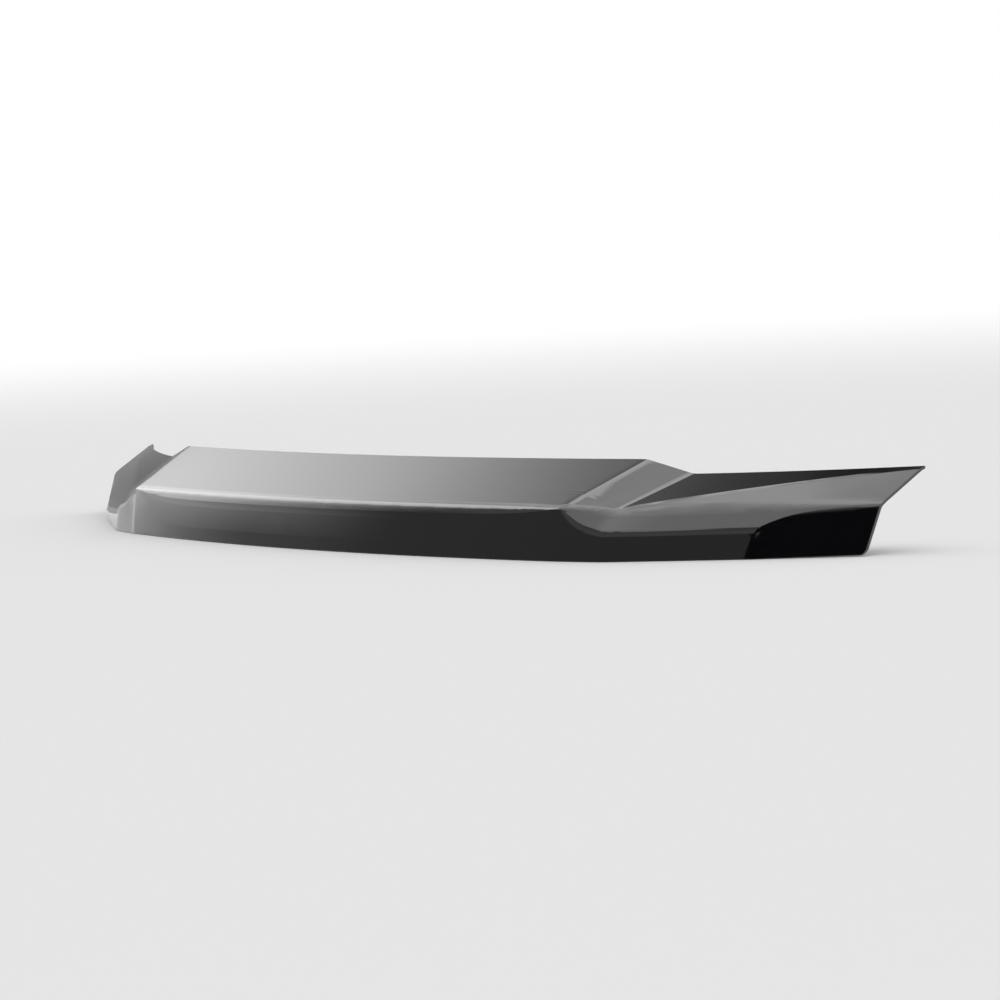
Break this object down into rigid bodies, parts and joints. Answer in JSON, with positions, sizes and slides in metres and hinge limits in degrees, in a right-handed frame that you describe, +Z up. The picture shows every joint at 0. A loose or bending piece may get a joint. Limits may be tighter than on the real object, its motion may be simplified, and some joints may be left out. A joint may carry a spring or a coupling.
{
  "type": "hood bug deflector",
  "caption": "Hood bug deflector: a moulded gloss black acrylic shield with a raised centre and swept-back wings, and the tabs, screws, nylon nuts and pads behind it.",
  "frame": {"origin": "middle of the footprint, level with the bottom edge of the shield", "axes": "+X runs across the vehicle along the shield, +Y points back over the hood and -Y is the front, +Z is up"},
  "size_m": [1.404, 0.2879, 0.1002],
  "materials": {
    "shield_acrylic": "gloss",
    "screw_steel": "satin",
    "nut_nylon": "matte",
    "pad_rubber": "matte"
  },
  "bodies": {
    "root": {"shield": "shield_acrylic", "screw_1": "screw_steel", "screw_2": "screw_steel", "screw_3": "screw_steel", "screw_4": "screw_steel", "screw_5": "screw_steel", "screw_6": "screw_steel", "expansion_nut_1": "nut_nylon", "expansion_nut_2": "nut_nylon", "expansion_nut_3": "nut_nylon", "expansion_nut_4": "nut_nylon", "expansion_nut_5": "nut_nylon", "expansion_nut_6": "nut_nylon", "rubber_pad_1": "pad_rubber", "rubber_pad_2": "pad_rubber", "rubber_pad_3": "pad_rubber", "rubber_pad_4": "pad_rubber", "rubber_pad_5": "pad_rubber", "rubber_pad_6": "pad_rubber", "rubber_pad_7": "pad_rubber", "rubber_pad_8": "pad_rubber"}
  },
  "joints": []
}
